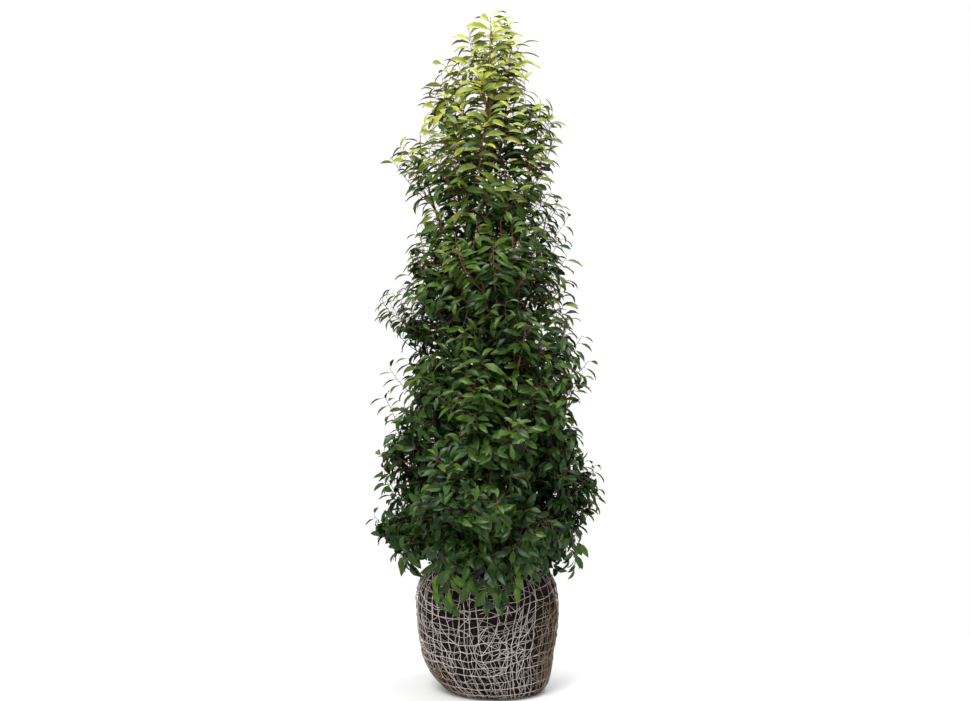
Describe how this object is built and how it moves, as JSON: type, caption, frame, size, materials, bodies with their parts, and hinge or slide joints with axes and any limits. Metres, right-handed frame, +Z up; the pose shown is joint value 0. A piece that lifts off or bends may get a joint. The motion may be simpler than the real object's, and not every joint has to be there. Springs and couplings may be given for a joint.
{
  "type": "root-balled portugal laurel",
  "caption": "Evergreen column shrub with arching glossy leaves on a short trunk, standing on the flat underside of its netted soil ball, for a patio, hedge or garden bed.",
  "frame": {"origin": "on the flat underside of the root ball, straight below the foot of the trunk", "axes": "+Z up along the trunk, +X to the right and +Y away from someone who looks at the front of the plant"},
  "size_m": [0.8196, 0.801, 2.3483],
  "materials": {
    "soil": "dark, damp, fibrous soil, rough",
    "netting": "pale twisted string net, stained by soil",
    "bark": "dull grey-brown bark",
    "leaf_crest": "young yellow-green glossy leaf",
    "leaf_flank": "mid-green glossy leaf",
    "leaf_skirt": "dark green glossy leaf"
  },
  "bodies": {
    "root": {"root_ball": "soil", "ball_net": "netting", "trunk": "bark", "bough_crest_1": "bark", "bough_crest_2": "bark", "bough_crest_3": "bark", "bough_shoulder_1": "bark", "bough_shoulder_2": "bark", "bough_shoulder_3": "bark", "bough_shoulder_4": "bark", "bough_chest_1": "bark", "bough_chest_2": "bark", "bough_chest_3": "bark", "bough_chest_4": "bark", "bough_waist_1": "bark", "bough_waist_2": "bark", "bough_waist_3": "bark", "bough_waist_4": "bark", "bough_waist_5": "bark", "bough_hip_1": "bark", "bough_hip_2": "bark", "bough_hip_3": "bark", "bough_hip_4": "bark", "bough_hip_5": "bark", "bough_skirt_1": "bark", "bough_skirt_2": "bark", "bough_skirt_3": "bark", "bough_skirt_4": "bark", "bough_skirt_5": "bark", "bough_skirt_6": "bark", "foliage_leader": "leaf_crest", "foliage_crest_1": "leaf_crest", "foliage_crest_2": "leaf_crest", "foliage_crest_3": "leaf_crest", "foliage_shoulder_1": "leaf_crest", "foliage_shoulder_2": "leaf_crest", "foliage_shoulder_3": "leaf_crest", "foliage_shoulder_4": "leaf_crest", "foliage_chest_1": "leaf_flank", "foliage_chest_2": "leaf_flank", "foliage_chest_3": "leaf_flank", "foliage_chest_4": "leaf_flank", "foliage_waist_1": "leaf_flank", "foliage_waist_2": "leaf_flank", "foliage_waist_3": "leaf_flank", "foliage_waist_4": "leaf_flank", "foliage_waist_5": "leaf_flank", "foliage_hip_1": "leaf_skirt", "foliage_hip_2": "leaf_skirt", "foliage_hip_3": "leaf_skirt", "foliage_hip_4": "leaf_skirt", "foliage_hip_5": "leaf_skirt", "foliage_skirt_1": "leaf_skirt", "foliage_skirt_2": "leaf_skirt", "foliage_skirt_3": "leaf_skirt", "foliage_skirt_4": "leaf_skirt", "foliage_skirt_5": "leaf_skirt", "foliage_skirt_6": "leaf_skirt"}
  },
  "joints": []
}
